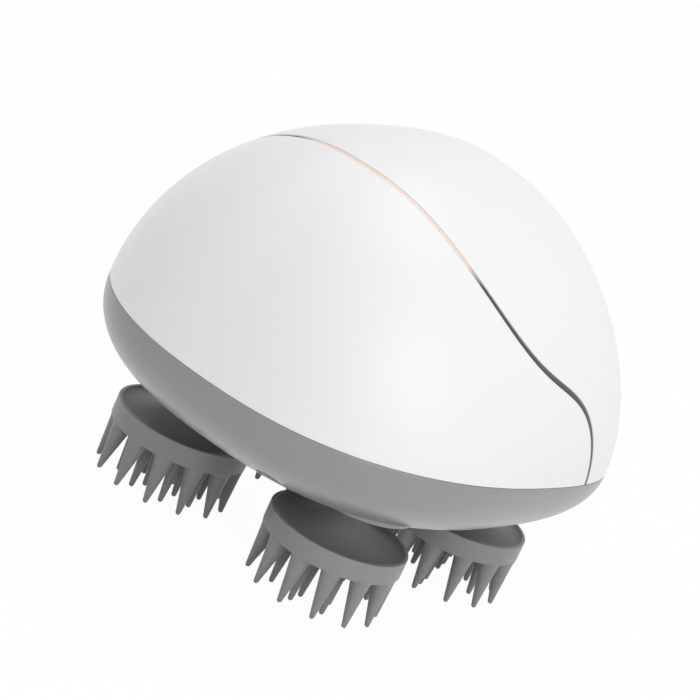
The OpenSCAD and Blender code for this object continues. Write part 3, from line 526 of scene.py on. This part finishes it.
def base_mesh():
    """The base: a bowl and, run into it, the collars, all hollowed, with the inner bosses, seal
    seats and screw wells."""
    low = SEAM_H - BASE_DEPTH
    under = low - CUT_PAST
    collars = joined([post(*at, COLLAR_R, COLLAR_H, COLLAR_TOP, COLLAR_EDGE_R, 128)
                      for at in HEADS.values()])
    bosses = joined(
        [post(*at, BUSH_BOSS_R, low + BUSH_BOSS_SUNK, BUSH_BOSS_TOP) for at in HEADS.values()]
        + [post(*at, SCREW_POST_R, SCREW_POST_LOW, SEAM_H - SCREW_POST_SHORT)
           for at in COVER_SCREWS])
    bush_hole = [(0, under), (SEAL_R, under), (SEAL_R, SEAL_TOP), (BUSH_R, SEAL_TOP),
                 (BUSH_R, BUSH_TOP), (0, BUSH_TOP)]
    screw_hole = [(0, under), (WELL_R, under), (WELL_R, WELL_TOP), (SCREW_HOLE_R, WELL_TOP),
                  (SCREW_HOLE_R, SCREW_HOLE_TOP), (0, SCREW_HOLE_TOP)]
    holes = joined([revolved(bush_hole, at, 64) for at in HEADS.values()]
                   + [revolved(screw_hole, at, 48) for at in COVER_SCREWS])
    bowl = combined("base", base_outside(), ("DIFFERENCE", base_inside()), ("UNION", bosses),
                    ("DIFFERENCE", holes))
    rings = combined("collars", collars, ("DIFFERENCE", base_inside()), ("DIFFERENCE", holes))
    both = bmesh.new()
    for mesh in (bowl, rings):
        both.from_mesh(mesh)
    both.to_mesh(bowl)
    both.free()
    bpy.data.meshes.remove(rings)
    return evenly_shaded(bowl, 30)


def seam_band(cols=256):
    """The grey gasket in the groove: a ring that follows the seam, lies on the base, keeps just
    clear of the covers and has its upper edge rounded over."""
    angle = full_turn(cols)

    def ring(inset, rise):
        """The seam's superellipse, set in from the outer face and lifted by rise."""
        r = plan_radius(angle, HALF_W - inset, HALF_L - inset)
        x, y = r * np.cos(angle), r * np.sin(angle)
        return np.stack([x, y, SEAM_H + rise + seam_lift(x, y)], -1)

    low, high = -SEAM_GAP + GASKET_LIFT, -GASKET_CLEAR
    face, edge, shoulder = GASKET_SINK, GASKET_EDGE_R, 0.3 * GASKET_EDGE_R
    rings = [ring(WALL, low), ring(face, low), ring(face, high - edge),
             ring(face + shoulder, high - shoulder), ring(face + edge, high),
             ring(WALL, high), ring(WALL, low)]
    return np.array(rings), grid_faces(len(rings), cols, wrap=True)


# ---- Claw heads ----

HEAD_COLS = 144

# places along a claw, as shares of its length under the pad's face: its closed end inside the
# pad, close steps where it opens out, and even steps to the half ball at its tip
CLAW_PLACES = np.concatenate([[-0.07, -0.07], np.linspace(-0.02, 0.12, 6), np.linspace(0.2, 1, 9)])
CLAW_COLS, BALL_STEPS, FLARE_FADE = 28, 6, 0.045


def claw(angle, root_ring, tip_ring, root_r, flare, tip_h):
    """One claw: circles along a straight axis from the pad down to the tip. The radius falls
    evenly from root to tip, opens by flare * exp(-share / fade) close to the root, and ends in
    a half ball; no point lies outside the band's cylinder."""
    reach = CLAW_L - tip_h - CLAW_TIP_R
    radius = (root_r + (CLAW_TIP_R - root_r) * CLAW_PLACES
              + flare * np.exp(-np.clip(CLAW_PLACES, 0, 1) / FLARE_FADE))
    radius[0] = 0
    ball = np.radians(np.linspace(0, 90, BALL_STEPS + 1)[1:])
    along = np.concatenate([CLAW_PLACES, 1 + CLAW_TIP_R * np.sin(ball) / reach])
    radius = np.concatenate([radius, CLAW_TIP_R * np.cos(ball)])
    turn = full_turn(CLAW_COLS)
    out = root_ring + (tip_ring - root_ring) * along[:, None] + radius[:, None] * np.cos(turn)
    side = radius[:, None] * np.sin(turn)
    z = CLAW_L - along[:, None] * reach + 0 * turn
    ring = np.hypot(out, side)
    keep = np.minimum(1, (HEAD_R - CLAW_INSET) / np.maximum(ring, 1e-9))
    out, side = out * keep, side * keep
    c, s = math.cos(angle), math.sin(angle)
    points = np.stack([out * c - side * s, out * s + side * c, z], -1)
    return points.reshape(-1, 3), grid_faces(len(along), CLAW_COLS, wrap=True, flip=True)


def claw_pad(first_turn):
    """The silicone pad about its own axis: a soft-edged cup with its rings of claws, all turned
    by the same angle in degrees."""
    outer, inner = HEAD_R - PAD_EDGE_R, HEAD_R - LIP_T
    cup = np.concatenate([
        [(0, CLAW_L)], arc((outer, CLAW_L + PAD_EDGE_R), PAD_EDGE_R, -90, 0),
        arc((outer, RIM_H - PAD_EDGE_R), PAD_EDGE_R, 0, 90),
        arc((inner + LIP_EDGE_R, RIM_H - LIP_EDGE_R), LIP_EDGE_R, 90, 180, 4),
        [(inner, DISC_LOW), (0, DISC_LOW)]])
    parts = [revolved(cup, cols=HEAD_COLS)]
    for count, *form in CLAW_RINGS:
        parts += [claw(math.radians(first_turn) + 2 * math.pi * k / count, *form)
                  for k in range(count)]
    return joined(parts)


def head_disc():
    """The disc about its own axis: its top dips from the rim and sweeps up to the hub as
    height = dish + rise * exp(-(r - hub) / fade) + rim * exp(-(edge - r) / rim_fade)."""
    side = HEAD_R - LIP_T - DISC_CLEAR
    edge, top = side - DISC_EDGE_R, DISC_DISH + DISC_RISE + HUB_CROWN
    r = edge - (edge - HUB_R) * np.linspace(0, 1, DISC_ROWS) ** DISC_CROWDING
    sweep = np.stack([r, DISC_DISH + DISC_RISE * np.exp(-(r - HUB_R) / DISC_FADE)
                      + DISC_RIM * np.exp(-(edge - r) / DISC_RIM_FADE)], -1)
    shoulder = sweep[0, 1] - DISC_EDGE_R
    profile = np.concatenate([
        [(0, DISC_LOW), (side, DISC_LOW), (side, shoulder)],
        arc((edge, shoulder), DISC_EDGE_R, 20, 90, 4), sweep[1:],
        [(HUB_R - HUB_EDGE, top), (DISC_BORE_R, top), (DISC_BORE_R, DISC_BORE_LOW),
         (0, DISC_BORE_LOW)]])
    return revolved(profile, cols=HEAD_COLS)


# ---- Materials ----

# the fine grain is this much finer than the slow drift, and its bumps this deep, in metres
FINE_GRAIN, GRAIN_DEPTH = 500, 0.0001
DRIFT_LOW, DRIFT_HIGH = 0.35, 0.65
LEAST_ROUGHNESS = 0.02


def principled(name, color, roughness, noise_scale, bump, variation=0.03, rough_variation=0.06,
               **sockets):
    """A finish on Object coordinates: a slow drift of colour, and a fine grain that varies the
    roughness and raises the surface. Further sockets are given by name."""
    material = bpy.data.materials.new(name)
    material.use_nodes = True
    tree = material.node_tree
    shader = tree.nodes["Principled BSDF"]
    for socket, value in sockets.items():
        shader.inputs[socket.replace("_", " ")].default_value = value
    place = tree.nodes.new("ShaderNodeTexCoord")

    def noise(scale, detail):
        """Noise over the piece, with this many cells to the metre."""
        node = tree.nodes.new("ShaderNodeTexNoise")
        node.inputs["Scale"].default_value = scale
        node.inputs["Detail"].default_value = detail
        tree.links.new(place.outputs["Object"], node.inputs["Vector"])
        return node

    slow, fine = noise(noise_scale, 3), noise(noise_scale * FINE_GRAIN, 4)
    ramp = tree.nodes.new("ShaderNodeValToRGB")
    low, high = ramp.color_ramp.elements
    low.position, high.position = DRIFT_LOW, DRIFT_HIGH
    low.color = (*(c * (1 - variation) for c in color), 1)
    high.color = (*(min(1, c * (1 + variation)) for c in color), 1)
    tree.links.new(slow.outputs["Fac"], ramp.inputs["Fac"])
    tree.links.new(ramp.outputs["Color"], shader.inputs["Base Color"])
    spread = tree.nodes.new("ShaderNodeMapRange")
    spread.inputs["To Min"].default_value = max(LEAST_ROUGHNESS, roughness - rough_variation)
    spread.inputs["To Max"].default_value = roughness + rough_variation
    tree.links.new(fine.outputs["Fac"], spread.inputs["Value"])
    tree.links.new(spread.outputs["Result"], shader.inputs["Roughness"])
    raised = tree.nodes.new("ShaderNodeBump")
    raised.inputs["Strength"].default_value = bump
    raised.inputs["Distance"].default_value = GRAIN_DEPTH
    tree.links.new(fine.outputs["Fac"], raised.inputs["Height"])
    tree.links.new(raised.outputs["Normal"], shader.inputs["Normal"])
    return material


def with_painted_shade(material, shade_tone, axis, start, end):
    """Painted shade: the finish fades to a near-black shade tone along an axis of the piece, from
    end back to start, both in millimetres."""
    tree = material.node_tree
    color = tree.nodes["Principled BSDF"].inputs["Base Color"]
    source = color.links[0].from_socket
    place = tree.nodes.new("ShaderNodeTexCoord")
    split = tree.nodes.new("ShaderNodeSeparateXYZ")
    fade = tree.nodes.new("ShaderNodeMapRange")
    fade.inputs["From Min"].default_value = start * MM
    fade.inputs["From Max"].default_value = end * MM
    mix = tree.nodes.new("ShaderNodeMix")
    mix.data_type = "RGBA"
    mix.inputs["A"].default_value = (*shade_tone, 1)
    tree.links.new(place.outputs["Object"], split.inputs[0])
    tree.links.new(split.outputs[axis], fade.inputs["Value"])
    tree.links.new(fade.outputs["Result"], mix.inputs["Factor"])
    tree.links.new(source, mix.inputs["B"])
    tree.links.new(mix.outputs["Result"], color)
    return material


WHITE_PLASTIC, GREY_PLASTIC = (0.90, 0.90, 0.90), (0.29, 0.29, 0.29)
# painted shade on the strip's ends: a near-black tone that stands in for the shade of the groove
# it dips into
TRIM_PAINTED_SHADE = (0.07, 0.07, 0.07)
# where the strip's rose tone fades into painted shade: heights up its side, and places across its
# top
TRIM_SHADE_SIDE, TRIM_SHADE_TOP = (83.3, 86.3), (-20, -15)
# each finish: colour, roughness, cells of the slow drift to the metre, strength of the bumps, and
# where they differ from the usual, how far colour and roughness drift
FINISHES = {
    "cover_white": principled("cover_white", WHITE_PLASTIC, 0.4, 9, 0.02, 0.006, 0.02,
                              Coat_Weight=0.15, Coat_Roughness=0.25),
    "housing_grey": principled("housing_grey", GREY_PLASTIC, 0.32, 9, 0.02, 0.01, 0.02,
                               Coat_Weight=0.25, Coat_Roughness=0.25),
    # the strip's ends are painted shade, faded in by height up its side and across its top
    "trim_metal": with_painted_shade(with_painted_shade(
        principled("trim_metal", (0.91, 0.69, 0.59), 0.4, 60, 0.05, 0.02, 0.04, Metallic=0.2),
        TRIM_PAINTED_SHADE, "Z", *TRIM_SHADE_SIDE), TRIM_PAINTED_SHADE, "X", *TRIM_SHADE_TOP),
    "seal_rubber": principled("seal_rubber", (0.03, 0.03, 0.03), 0.6, 60, 0.1),
    "gasket_grey": principled("gasket_grey", GREY_PLASTIC, 0.32, 9, 0.02, 0.01, 0.02,
                              Coat_Weight=0.25, Coat_Roughness=0.25),
    "frame_plastic": principled("frame_plastic", (0.16, 0.16, 0.17), 0.5, 40, 0.15),
    "screw_steel": principled("screw_steel", (0.6, 0.6, 0.62), 0.3, 90, 0.08, Metallic=1.0),
    "motor_steel": principled("motor_steel", (0.55, 0.56, 0.58), 0.35, 40, 0.08, Metallic=1.0),
    "shaft_steel": principled("shaft_steel", (0.65, 0.65, 0.67), 0.2, 90, 0.05, Metallic=1.0),
    "gear_plastic": principled("gear_plastic", (0.82, 0.82, 0.77), 0.4, 40, 0.08),
    "cell_wrap": principled("cell_wrap", (0.05, 0.14, 0.35), 0.3, 30, 0.03),
    "board_green": principled("board_green", (0.03, 0.16, 0.07), 0.35, 50, 0.05),
    "button_white": principled("button_white", (0.86, 0.86, 0.86), 0.3, 20, 0.02, 0.006, 0.02),
    "switch_black": principled("switch_black", (0.03, 0.03, 0.03), 0.45, 50, 0.1),
    "claw_silicone": principled("claw_silicone", (0.27, 0.27, 0.27), 0.42, 30, 0.06, 0.03, 0.05,
                                Subsurface_Weight=0.08, Subsurface_Scale=0.002),
    "disc_plastic": principled("disc_plastic", (0.21, 0.21, 0.21), 0.5, 30, 0.02, 0.02, 0.02),
    "bush_brass": principled("bush_brass", (0.7, 0.53, 0.25), 0.3, 90, 0.06, Metallic=1.0),
}

# the CAD pieces that stay in view wear the finish of their slot
for part in frame["record"]["subparts"]:
    mesh = frame["nodes"][part["node"]].data
    mesh.materials.clear()
    mesh.materials.append(FINISHES[part["material_slot"]])

# ---- Pieces ----

make_piece("rear_shell", rear_mesh(), "housing", FINISHES["cover_white"],
           ["rear_cover"])
make_piece("front_shell", cover_shell(False), "housing", FINISHES["cover_white"],
           ["front_cover"])
make_piece("split_trim", trim_band(), "housing", FINISHES["trim_metal"],
           ["trim_strip"])
make_piece("seam_band", seam_band(), "housing", FINISHES["gasket_grey"],
           ["seam_gasket"])
make_piece("base_shell", base_mesh(), "housing", FINISHES["housing_grey"],
           ["base_housing"])

for head, (x, y) in HEADS.items():
    for (points, faces), name, node, material in (
            (claw_pad(CLAW_TURNS[head]), "claw_pad_soft", "claw_pad", "claw_silicone"),
            (head_disc(), "head_disc_smooth", "head_disc", "disc_plastic")):
        make_piece(f"{name}_{head}", (points + (x, y, 0), faces), "head_" + head,
                   FINISHES[material], [f"{node}_{head}"])

# ---- Floor and light ----

FLOOR_HALF, FLOOR_TONE, FLOOR_WHITE = 12.0, 0.85, 0.97
WORLD_LEVEL = 0.62
LAMP_SIZE, LAMP_TARGET = 1.0, (0, 0, 0.05)

def seen_directly(tree):
    """Output that is 1 for what the camera sees straight or in a glossy or clear surface."""
    path = tree.nodes.new("ShaderNodeLightPath")
    either = path.outputs["Is Camera Ray"]
    for other in ("Is Glossy Ray", "Is Transmission Ray"):
        most = tree.nodes.new("ShaderNodeMath")
        most.operation = "MAXIMUM"
        tree.links.new(either, most.inputs[0])
        tree.links.new(path.outputs[other], most.inputs[1])
        either = most.outputs[0]
    return either


def add_floor():
    """A white floor that shows white, with the object's shadow left faintly on it."""
    mesh = bpy.data.meshes.new("floor")
    corners = [(-1, -1, 0), (1, -1, 0), (1, 1, 0), (-1, 1, 0)]
    mesh.from_pydata((FLOOR_HALF * np.array(corners)).tolist(), [], [(0, 1, 2, 3)])
    floor = bpy.data.objects.new("floor", mesh)
    scene.collection.objects.link(floor)
    material = bpy.data.materials.new("floor_white")
    material.use_nodes = True
    tree = material.node_tree
    matt = tree.nodes["Principled BSDF"]
    matt.inputs["Base Color"].default_value = (FLOOR_TONE, FLOOR_TONE, FLOOR_TONE, 1)
    matt.inputs["Roughness"].default_value = 0.9
    matt.inputs["Specular IOR Level"].default_value = 0.0
    white = tree.nodes.new("ShaderNodeEmission")
    white.inputs["Strength"].default_value = 1.0
    share = tree.nodes.new("ShaderNodeMath")
    share.operation = "MULTIPLY"
    share.inputs[1].default_value = FLOOR_WHITE
    mix = tree.nodes.new("ShaderNodeMixShader")
    tree.links.new(seen_directly(tree), share.inputs[0])
    tree.links.new(share.outputs[0], mix.inputs[0])
    tree.links.new(matt.outputs[0], mix.inputs[1])
    tree.links.new(white.outputs[0], mix.inputs[2])
    tree.links.new(mix.outputs[0], tree.nodes["Material Output"].inputs["Surface"])
    mesh.materials.append(material)


def add_world(strength):
    """An even white surround that the camera and reflections see as plain white."""
    world = bpy.data.worlds.new("studio")
    scene.world = world
    world.use_nodes = True
    tree = world.node_tree
    surround = tree.nodes["Background"]
    surround.inputs["Color"].default_value = (1, 1, 1, 1)
    surround.inputs["Strength"].default_value = strength
    white = tree.nodes.new("ShaderNodeBackground")
    white.inputs["Color"].default_value = (1, 1, 1, 1)
    white.inputs["Strength"].default_value = 1.0
    mix = tree.nodes.new("ShaderNodeMixShader")
    tree.links.new(seen_directly(tree), mix.inputs[0])
    tree.links.new(surround.outputs[0], mix.inputs[1])
    tree.links.new(white.outputs[0], mix.inputs[2])
    tree.links.new(mix.outputs[0], tree.nodes["World Output"].inputs["Surface"])


def add_lamp(name, place, power):
    """A soft square lamp, in metres and watts, that faces the massager."""
    data = bpy.data.lights.new(name, "AREA")
    data.shape, data.size, data.energy = "SQUARE", LAMP_SIZE, power
    lamp = bpy.data.objects.new(name, data)
    scene.collection.objects.link(lamp)
    lamp.location = place
    facing = Vector(LAMP_TARGET) - Vector(place)
    lamp.rotation_euler = facing.to_track_quat("-Z", "Y").to_euler()


add_floor()
add_world(WORLD_LEVEL)
add_lamp("key_lamp", (1.0, -0.45, 0.32), 4.8)
add_lamp("top_lamp", (-0.1, 0.1, 1.2), 3.7)
